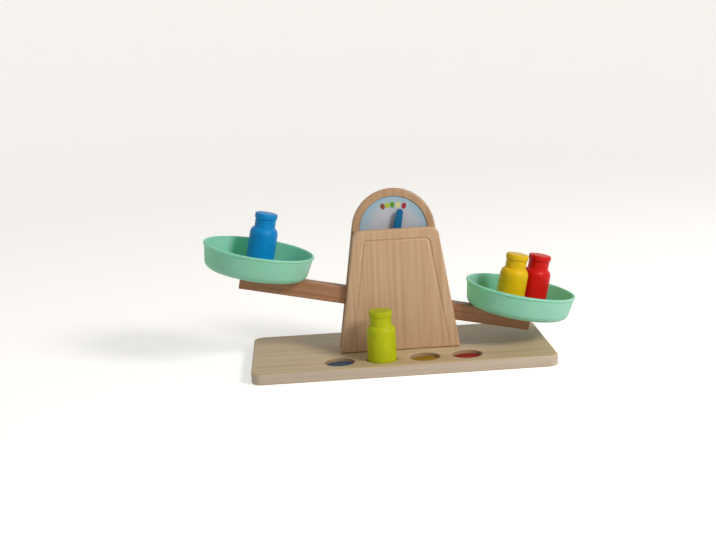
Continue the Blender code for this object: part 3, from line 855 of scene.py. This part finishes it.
@dataclass
class Tower:
    """Two boards with blocks, pegs and the axle between them, and the dial let into the back board."""

    width: float = 0.137
    board: float = 0.008
    ease: float = 0.002
    front_height: float = 0.140
    front_corner: float = 0.010
    arch_radius: float = 0.048
    arch_height: float = 0.182
    groove_inset: float = 0.0125
    groove_corner: float = 0.005
    groove_radius: float = 0.0021
    groove_depth: float = 0.0012
    dial_radius: float = 0.039
    dial_thickness: float = 0.0015
    dial_sink: float = 0.0010
    dial_tuck: float = 0.009        # how far the dial reaches down behind the front board
    mark_ring: float = 0.0446       # from the pivot to the middles of the dial's marks
    mark_size: Pair = (0.0027, 0.0036)
    mark_film: float = 0.00008
    peg_spread: float = 0.046
    peg_radius: float = 0.004
    dowel_spread: float = 0.040
    dowel_rise: float = 0.010
    dowel_radius: float = 0.003
    axle_radius: float = 0.0025
    spacer_wall: float = 0.002
    bite: float = 0.005             # how far pegs, dowels and axle reach into each board
    block: Pair = (0.120, 0.020)
    block_ease: float = 0.0006
    shoulder: Pair = (0.015, 0.034)
    shoulder_gap: Pair = (0.003, 0.004)      # inwards and down from the front board's corner
    lean: float = field(init=False)
    peg_height: float = field(init=False)

    INKS: ClassVar[Sequence[tuple[str, str, float]]] = (        # a mark's name, colour and angle in degrees
        ("brown", "#8A4A34", -14.6), ("lime", "#A9C24A", -7.2), ("leaf", "#5E9A34", 0.0),
        ("straw", "#D6D08A", 8.6), ("berry", "#9C3038", 17.2))
    PIVOT_RISE: ClassVar[float] = PIVOT[2] - TOWER_FOOT

    def __post_init__(self) -> None:
        """Finds the lean at which the sides run smoothly into the arch, and reads the pegs' height."""
        rise = self.arch_height - self.arch_radius
        reach = math.hypot(self.width / 2, rise)
        self.lean = math.acos(self.arch_radius / reach) - math.atan2(rise, self.width / 2)
        low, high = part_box("stop_peg_left")
        self.peg_height = (low.z + high.z) / 2 - TOWER_FOOT

    def side(self, height: float, moved: float = 0.0) -> float:
        """Half the width at a height above the tower's foot, moved in from the sloping side by a distance."""
        return self.width / 2 - height * math.tan(self.lean) - moved / math.cos(self.lean)

    def pin_holes(self) -> list[Hole]:
        """The blind holes for the axle, the pegs and the dowels, which are the same in both boards.

        Returns:
            One hole for each pin.
        """
        spots = [(0.0, self.PIVOT_RISE, self.axle_radius)]
        for _, sign in SIDES:
            spots += [(sign * self.peg_spread, self.peg_height, self.peg_radius),
                      (sign * self.dowel_spread, self.dowel_rise, self.dowel_radius)]
        return [cut(circle(x, y, radius + SEAT, 32), self.bite + SEAT) for x, y, radius in spots]

    def front_line(self, moved: float, radius: float, foot: float) -> np.ndarray:
        """A line parallel to the front board's outline, from its right foot over the top to its left foot.

        Args:
            moved: How far inside the outline it runs.
            radius: Radius of its upper corners.
            foot: Height of its two ends.

        Returns:
            The open line's points.
        """
        y = self.front_height - moved - radius
        x = self.side(y, moved) - radius / math.cos(self.lean)
        right = arc((x, y), radius, math.degrees(self.lean), 90, 10)
        foot_x = self.side(foot, moved)
        return np.concatenate([[(foot_x, foot)], right, right[::-1] * (-1, 1), [(-foot_x, foot)]])

    def build_front(self) -> None:
        """The front board with the fine groove that follows its outline.

        The groove is a strip of parallel lines across its width s, each at the depth √(r² - s²) - (r - d),
        which fades to nothing at the board's foot. The strip's ends lie on the outline of the flat face.
        """
        flat = self.ease * FLAT_FROM
        middle = self.groove_radius - self.groove_depth
        s = np.linspace(-1, 1, 9) * math.sqrt(self.groove_radius ** 2 - middle ** 2)
        lines = [self.front_line(self.groove_inset + v, self.groove_corner - v, flat) for v in s]
        marks = np.array([line[-1] for line in lines])
        bottom = np.concatenate([marks, marks[::-1] * (-1, 1)]) * (1, 0)
        rim = self.front_line(0.0, self.front_corner, 0.0)
        outline = np.concatenate([rim, bottom])
        shell = board(outline, self.board, self.ease, (), self.pin_holes(), 6, face=False)
        face = inset(outline, flat)
        ends = face[len(rim):]
        lines = [np.concatenate([[ends[-1 - i]], line[1:-1], [ends[i]]]) for i, line in enumerate(lines)]
        fade = np.ones(len(lines[0]))
        fade[[0, -1]] = 0.0
        depth = np.sqrt(self.groove_radius ** 2 - s ** 2) - middle
        strip = np.stack([np.column_stack([line, self.board - d * fade]) for line, d in zip(lines, depth)])
        shell.grid(strip, closed=False)
        shell.cap(np.concatenate([face[:len(rim)], lines[0][::-1]]), self.board)
        shell.cap(lines[-1], self.board)
        place = Place((0, -BOARD_GAP, TOWER_FOOT), UPRIGHT)
        dress(shell, "grooved_front_board", place, TOWER_BEECH, "base", "front_board")

    def build_back(self) -> None:
        """The arched back board with the pocket for the dial, and the dial with its marks."""
        lean = math.degrees(self.lean)
        centre = (0.0, self.arch_height - self.arch_radius)
        arch = arc(centre, self.arch_radius, lean, 180 - lean, 72)
        outline = np.concatenate([[(self.width / 2, 0.0)], arch, [(-self.width / 2, 0.0)]])

        def dial(grown: float) -> np.ndarray:
            """The dial's outline: a half round with straight sides down behind the front board.

            Args:
                grown: How far it is moved outwards.

            Returns:
                The closed outline.
            """
            low = self.front_height - self.dial_tuck - grown
            radius = self.dial_radius + grown
            return np.concatenate([[(-radius, low), (radius, low)], arc(centre, radius, 0, 180, 64)])

        pocket = cut(dial(SEAT), self.dial_sink + self.dial_thickness + SEAT, ARRIS)
        slab = board(outline, self.board, self.ease, [pocket, *self.pin_holes()], (), 6)
        dress(slab, "arched_back_board", Place((0, BOARD_GAP + self.board, TOWER_FOOT), UPRIGHT), REAR_BEECH,
              "base", "back_board")
        place = Place((0, BOARD_GAP + self.dial_sink, TOWER_FOOT), UPRIGHT)
        card = Printed("dial_card", "dial_print", "#BEC2CC", "#8FB4C8", (0.0, 0.0, TOWER_FOOT + centre[1]))
        dress(board(dial(0.0), self.dial_thickness, FINE_ARRIS, (), (), 2), "printed_dial",
              place.shift(z=-self.dial_thickness), card, "base", "dial_plate")
        self.build_marks(place)

    def build_marks(self, place: Place) -> None:
        """Coloured marks on an arc above the pointer's tip, as thin prints.

        Each is an ellipse whose long side points at the pivot, (a cos t, b sin t), turned by its own angle.

        Args:
            place: The frame of the dial's face.
        """
        t = np.linspace(0, 2 * math.pi, 32, endpoint=False)
        oval = np.stack([np.cos(t), np.sin(t)], 1) * self.mark_size
        for name, ink, angle in self.INKS:
            right, up = math.sin(math.radians(angle)), math.cos(math.radians(angle))
            spin = np.array([(up, -right), (right, up)])
            loop = oval @ spin + (self.mark_ring * right, self.mark_ring * up + self.PIVOT_RISE)
            dress(board(loop, self.mark_film, self.mark_film / 4, (), (), 1), f"dial_mark_{name}", place,
                  Lacquer(f"{name}_ink", "dial_print", ink, ink, rough=INKED), "base")

    def build_inside(self) -> None:
        """Blocks, pegs, dowels, axle and spacer rings between the boards."""
        depth = 2 * (BOARD_GAP - SEAT)
        upright = Place((0, BOARD_GAP - SEAT, TOWER_FOOT), UPRIGHT)
        dowels = [cut(circle(s * self.dowel_spread, 0.0, self.dowel_radius + SEAT, 32), arris=ARRIS)
                  for _, s in SIDES]
        dress(board(box_outline(*self.block), depth, self.block_ease, dowels, (), 2), "drilled_foot_block",
              upright.shift(y=self.block[1] / 2), BLOCK_BEECH, "base", "foot_block")
        pin = 2 * (BOARD_GAP + self.bite)
        width, height = self.shoulder
        inwards, down = self.shoulder_gap
        high = self.front_height - down
        reach = self.side(high) - inwards - width / 2
        for side, sign in SIDES:
            dress(board(box_outline(width, height), depth, self.block_ease, (), (), 2),
                  f"eased_shoulder_block_{side}", upright.shift(x=sign * reach, y=high - height / 2),
                  TOWER_BEECH, "base", f"shoulder_block_{side}")
            dress(rod(self.peg_radius, pin), f"turned_stop_peg_{side}",
                  Place((sign * self.peg_spread, 0, TOWER_FOOT + self.peg_height), ROD), PEG_BEECH, "base",
                  f"stop_peg_{side}")
            dress(rod(self.dowel_radius, pin), f"turned_dowel_{side}",
                  Place((sign * self.dowel_spread, 0, TOWER_FOOT + self.dowel_rise), ROD), PEG_BEECH, "base",
                  f"foot_dowel_{side}")
        dress(rod(self.axle_radius, pin), "steel_axle", Place(tuple(PIVOT), ROD), STEEL, "base", "axle")
        bore = self.axle_radius + SEAT
        for side in ("front", "back"):
            low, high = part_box(f"spacer_ring_{side}")
            dress(collar(bore, bore + self.spacer_wall, (high.y - low.y) / 2), f"turned_spacer_{side}",
                  Place((0, (low.y + high.y) / 2, PIVOT[2]), ROD), PEG_BEECH, "base", f"spacer_ring_{side}")

    def build(self) -> None:
        """Builds the whole tower."""
        self.build_front()
        self.build_back()
        self.build_inside()


@dataclass
class Beam:
    """The beam, its hanger, the bearing and the pointer. Heights are measured from the pivot."""

    length: float = 0.337
    depth: float = 0.018
    height: float = 0.019
    corner: float = 0.0008
    ease: float = 0.0010
    hanger: float = 0.026
    hanger_thickness: float = 0.010
    hanger_ease: float = 0.0008
    bite: float = 0.011             # how deep the hanger stands in the beam
    bush: float = 0.0044
    bore: float = 0.0026
    boss: float = 0.006
    hanger_screws: float = 0.007    # from the middle to each of the hanger's screws
    pan_screw: float = 0.0172
    screw_mouth: float = 0.006      # depth of the screws' holes in the beam's underside
    pointer_reach: float = 0.041
    pointer_root: float = 0.0055
    pointer_tip: float = 0.0038
    pointer_thickness: float = 0.002
    pointer_ease: float = 0.0005
    pointer_bore: float = 0.0028
    pointer_screw: float = 0.0085   # from the pivot up to the pointer's screw
    pointer_sink: float = 0.0014    # radius of that screw's hole in the pointer
    pointer_grip: float = 0.004
    fine_pitch: float = 0.0008

    COUNTERSINK: ClassVar[tuple[Pair, ...]] = ((0.0009, 0.0), (0.0, 0.0010), (0.0, 0.0018))

    def build_bar(self) -> None:
        """The bar, seen from above as its outline, with its mortise, two sockets and four screw holes."""
        slot = box_outline(self.hanger + 2 * SEAT, self.hanger_thickness + 2 * SEAT, FINE_ARRIS, 2)
        sockets = [cut(circle(s * PAN_SPREAD, 0.0, self.boss + SEAT), self.boss + SEAT) for _, s in SIDES]
        below = [screw_hole(s * x, 0.0, self.screw_mouth) for x in (PAN_SPREAD, self.hanger_screws)
                 for _, s in SIDES]
        bar = board(box_outline(self.length, self.depth, self.corner, 3), self.height, self.ease,
                    [cut(slot, self.bite), *sockets], below, 5)
        underside = TIPPED.shift(z=BEAM_TOP - self.height)
        dress(bar, "steamed_beam", underside, BEAM_BEECH, "beam", "beam")
        kinds = (("hanger", self.hanger_screws, self.height - self.bite - SUNK + GRIP),
                 ("pan", PAN_SPREAD, self.pan_screw))
        for side, sign in SIDES:
            for kind, x, length in kinds:
                dress(screw(*SCREW, length), f"cross_screw_{kind}_{side}",
                      underside.shift(x=sign * x, z=SUNK), STEEL, "beam", f"{kind}_screw_{side}")

    def build_hanger(self) -> None:
        """The hanger with its round top and bored bearing, and the brass bush."""
        foot, half, thick = BEAM_TOP - self.bite + SEAT, self.hanger / 2, self.hanger_thickness
        outline = np.concatenate([[(-half, foot), (half, foot)], arc((0, 0), half, 0, 180, 32)])
        bored = cut(circle(0, 0, self.bush + SEAT), arris=ARRIS)
        dress(board(outline, thick, self.hanger_ease, [bored], (), 3), "bored_hanger",
              TIPPED_UPRIGHT.shift(z=-thick / 2), HANGER_BEECH, "beam", "hanger")
        dress(collar(self.bore, self.bush, thick / 2), "flanged_bush", TIPPED_ROD, BRASS, "beam", "axle_bush")

    def build_pointer(self) -> None:
        """The pointer behind the hanger, round its root on the axle and its smaller tip, and its screw."""
        high = self.pointer_reach - self.pointer_tip
        lean = math.degrees(math.asin((self.pointer_root - self.pointer_tip) / high))
        finger = np.concatenate([arc((0, high), self.pointer_tip, lean, 180 - lean, 14),
                                 arc((0, 0), self.pointer_root, 180 - lean, 360 + lean, 20)])
        axle = cut(circle(0, 0, self.pointer_bore, 32))
        sunk = Hole(circle(0, self.pointer_screw, self.pointer_sink, 24), self.COUNTERSINK)
        back = TIPPED_UPRIGHT.shift(z=-self.hanger_thickness / 2 - SEAT - self.pointer_thickness)
        dress(board(finger, self.pointer_thickness, self.pointer_ease, [axle], [sunk]), "rounded_pointer",
              back, POINTER_LACQUER, "beam", "pointer")
        length = self.pointer_thickness + self.pointer_grip
        dress(screw(*SMALL_SCREW, length, self.fine_pitch), "cross_screw_pointer",
              back.shift(y=self.pointer_screw), STEEL, "beam", "pointer_screw")

    def build(self) -> None:
        """Builds the bar, the hanger and the pointer."""
        self.build_bar()
        self.build_hanger()
        self.build_pointer()


@dataclass
class Pan:
    """A moulded dish with a flared wall, a round lower corner and a beaded rim."""

    radius: float = 0.0635
    height: float = 0.029
    wall: float = 0.0026
    flare: float = 9.0
    corner: float = 0.009
    lip: float = 0.0007
    bead_low: float = 0.0043
    boss: float = 0.006
    pilot: float = 0.005            # depth of the screw's hole in the boss

    def profile(self) -> np.ndarray:
        """From the middle of the floor up the inside, over the bead, down the outside and in to the boss.

        Returns:
            The (r, z) points.
        """
        lean, e = math.radians(self.flare), ARRIS
        slope = math.tan(lean)
        bead = (self.wall + self.lip) / 2
        outer, low = self.radius - self.lip, self.height - self.bead_low
        centre = outer - (self.height - self.corner) * slope - self.corner / math.cos(lean)
        inner = self.corner - self.wall
        near, far, edge = 0.020, 0.040, centre - 0.002      # rings in the flat of the floor
        bore = SCREW[0] + SEAT
        return np.concatenate([
            [(0, PAN_FLOOR), (near, PAN_FLOOR), (far, PAN_FLOOR), (edge, PAN_FLOOR)],
            arc((centre, PAN_FLOOR + inner), inner, -90, -self.flare, 14),
            arc((self.radius - bead, self.height - bead), bead, 180 - self.flare, -self.flare - 40, 20),
            [(outer - (self.bead_low - 2 * e) * slope - e / 3, low + 2 * e),
             (outer - self.bead_low * slope, low)],
            arc((centre, self.corner), self.corner, -self.flare, -90, 16),
            [(edge, 0), (near, 0), (self.boss + 2 * e, 0), (self.boss, -4 * e / 3),
             (self.boss, e - self.boss), (self.boss - e, -self.boss), (bore, -self.boss),
             (bore, self.pilot - self.boss), (0, self.pilot - self.boss)]])

    def build(self) -> None:
        """Builds both pans on the tipped beam."""
        for side, sign in SIDES:
            place = TIPPED.shift(x=sign * PAN_SPREAD, z=BEAM_TOP + SEAT)
            dress(turned(self.profile(), 144), f"moulded_pan_{side}", place, MINT, "beam", f"pan_{side}",
                  smooth=40.0)


@dataclass
class Weight:
    """A turned weight, shaped like a milk can: cap, neck, round shoulder and straight body."""

    colour: str
    place: Place
    radius: float = 0.0162
    height: float = 0.060
    neck: float = 0.0120
    cap: float = 0.0130
    cap_height: float = 0.0060
    neck_height: float = 0.0110
    shoulder: float = 0.0080
    ease: float = 0.0016
    fillet: float = 0.0009

    def profile(self) -> np.ndarray:
        """From the middle of the cap down to the middle of the foot.

        The shoulder is the quarter ellipse (neck + (R - neck) sin t, low + h cos t). Each edge has its round.

        Returns:
            The (r, z) points.
        """
        e, f, top = self.ease, self.fillet, self.height
        core, ring = 0.004, 0.001       # a ring in each flat end, and one near each end of the straight wall
        under = top - self.cap_height
        high = under - self.neck_height
        low = high - self.shoulder
        t = np.linspace(0, math.pi / 2, 17)[2:]
        return np.concatenate([
            [(0, top), (core, top), (self.cap - END_FROM * e, top)],
            arc((self.cap - e, top - e), e, 90, 0, 8),
            arc((self.cap - e / 3, under + e / 3), e / 3, 0, -90, 5),
            arc((self.neck + f / 2, under - f / 2), f / 2, 90, 180, 4),
            arc((self.neck + f, high + f), f, 180, 262, 5),
            np.stack([self.neck + (self.radius - self.neck) * np.sin(t), low + self.shoulder * np.cos(t)], 1),
            [(self.radius, low - ring), (self.radius, e + ring)],
            arc((self.radius - e, e), e, 0, -90, 8),
            [(self.radius - END_FROM * e, 0), (core, 0), (0, 0)]])

    def build(self) -> None:
        """Builds the weight on the CAD body that holds its node."""
        node = f"weight_{self.colour}"
        dress(turned(self.profile()), f"turned_{node}", self.place, LACQUERS[self.colour],
              frame["nodes"][node]["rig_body"], node, smooth=45.0)


def weights() -> list[Weight]:
    """The four weights where the photograph shows them: one left, one in its recess, two right.

    Returns:
        The weights from left to right.
    """
    floor = BEAM_TOP + SEAT + PAN_FLOOR + SEAT
    return [
        Weight("blue", TIPPED.shift(-0.1490, 0.0320, floor)),
        Weight("green", Place((-0.5 * RECESS_PITCH, RECESS_Y, BASE_TOP - RECESS_DEPTH + SEAT))),
        Weight("yellow", TIPPED.shift(0.1430, 0.0056, floor)),
        Weight("red", TIPPED.shift(0.1734, 0.0243, floor)),
    ]


# Studio

def seen_by_eye(tree: Tree) -> Socket:
    """1 on rays from the camera and on those that gloss or glass send on, and 0 on rays that carry light.

    Args:
        tree: The node tree.

    Returns:
        The output that tells them apart.
    """
    path = add_node(tree, "LightPath").node.outputs
    direct = add_node(tree, "Math", {0: path["Is Camera Ray"], 1: path["Is Glossy Ray"]}, operation="MAXIMUM")
    return add_node(tree, "Math", {0: direct, 1: path["Is Transmission Ray"]}, operation="MAXIMUM")


def heading(azimuth: float, elevation: float) -> Vector:
    """The unit vector that points to the right of the front by one angle and up by the other, in degrees."""
    az, el = math.radians(azimuth), math.radians(elevation)
    return Vector((math.sin(az) * math.cos(el), -math.cos(az) * math.cos(el), math.sin(el)))


@dataclass(frozen=True)
class Lamp:
    """A square lamp that faces the object, placed by its angles in degrees and its distance."""

    name: str
    azimuth: float
    elevation: float
    distance: float
    size: float
    power: float
    colour: str

    TARGET: ClassVar[Triple] = (0.0, 0.0, 0.08)

    def build(self) -> None:
        """Adds the lamp."""
        light = bpy.data.lights.new(self.name, "AREA")
        light.shape, light.size, light.energy = "SQUARE", self.size, self.power
        light.color = linear(self.colour)[:3]
        lamp = bpy.data.objects.new(self.name, light)
        way = heading(self.azimuth, self.elevation)
        lamp.location = Vector(self.TARGET) + way * self.distance
        lamp.rotation_euler = way.to_track_quat("Z", "Y").to_euler()
        bpy.context.scene.collection.objects.link(lamp)


@dataclass
class Studio:
    """A pale floor that curves up all round, soft lamps and the camera at the photograph's angle."""

    floor_radius: float = 1.8
    curve_radius: float = 0.8
    wall_top: float = 1.6
    floor_glow: float = 0.55
    sky_light: float = 0.26         # the sky's strength as light, and as it is seen
    sky_seen: float = 0.95
    azimuth: float = -2.6
    elevation: float = 11.5
    roll: float = -3.0
    target: Triple = (-0.0435, 0.0, 0.1055)
    distance: float = 1.425
    focal_px: float = 1248.0
    image_width: float = 716.0
    sensor_width: float = 36.0

    def build_floor(self) -> None:
        """A bowl: flat in its middle, then a quarter round up to its wall."""
        curve = arc((self.floor_radius, self.curve_radius), self.curve_radius, -90, 0, 24)
        wall = self.floor_radius + self.curve_radius
        profile = np.concatenate([[(0, 0), (0.4, 0), (1.0, 0)], curve, [(wall, self.wall_top)]])
        mesh = turned(profile).mesh("studio_floor", Place((0, 0, 0)), smooth=60.0)
        floor = bpy.data.objects.new("studio_floor", mesh)
        paper = bpy.data.materials.new("backdrop_paper")
        paper.use_nodes = True
        tree = paper.node_tree
        shader = tree.nodes["Principled BSDF"]
        shader.inputs["Base Color"].default_value = linear("#EFEDE9")
        shader.inputs["Roughness"].default_value = 0.9
        shader.inputs["Emission Color"].default_value = linear("#F6F5F3")
        glow = add_node(tree, "Math", {0: seen_by_eye(tree), 1: self.floor_glow}, operation="MULTIPLY")
        tree.links.new(glow, shader.inputs["Emission Strength"])
        mesh.materials.append(paper)
        bpy.context.scene.collection.objects.link(floor)

    def build_light(self) -> None:
        """A soft key from the upper right, a weak fill from the left and an even pale sky."""
        Lamp("key", 45.0, 34.0, 1.9, 0.50, 24.5, "#FFFAF4").build()
        Lamp("fill", -50.0, 30.0, 2.0, 1.4, 2.6, "#F2F6FF").build()
        world = bpy.data.worlds.new("studio")
        world.use_nodes = True
        bpy.context.scene.world = world
        tree = world.node_tree
        background = tree.nodes["Background"]
        levels = {0: seen_by_eye(tree), 2: self.sky_light, 3: self.sky_seen}
        strength = add_node(tree, "Mix", levels, data_type="FLOAT")
        background.inputs["Color"].default_value = (1.0, 1.0, 1.0, 1.0)
        tree.links.new(strength, background.inputs["Strength"])

    def build_camera(self) -> None:
        """The camera looks at the target from its azimuth and elevation, rolled about its own axis."""
        back, roll = heading(self.azimuth, self.elevation), math.radians(self.roll)
        right = (-back).cross(Vector((0, 0, 1))).normalized()
        up = right.cross(-back)
        rolled = right * math.cos(roll) + up * math.sin(roll)
        axes = (rolled, up * math.cos(roll) - right * math.sin(roll), back)
        data = bpy.data.cameras.new("camera")
        data.sensor_width = self.sensor_width
        data.lens = self.focal_px / self.image_width * data.sensor_width
        camera = bpy.data.objects.new("camera", data)
        place = Matrix.Translation(Vector(self.target) + back * self.distance)
        camera.matrix_world = place @ Matrix(axes).transposed().to_4x4()
        bpy.context.scene.collection.objects.link(camera)
        bpy.context.scene.camera = camera

    def build(self) -> None:
        """Builds floor, light and camera."""
        self.build_floor()
        self.build_light()
        self.build_camera()
        bpy.context.scene.view_settings.view_transform = "Standard"


def main() -> None:
    """Builds the toy and its studio."""
    logging.basicConfig(level=logging.INFO, format="%(message)s")
    for assembly in (Studio(), Base(), Tower(), Beam(), Pan(), *weights()):
        assembly.build()


if __name__ == "__main__":
    main()
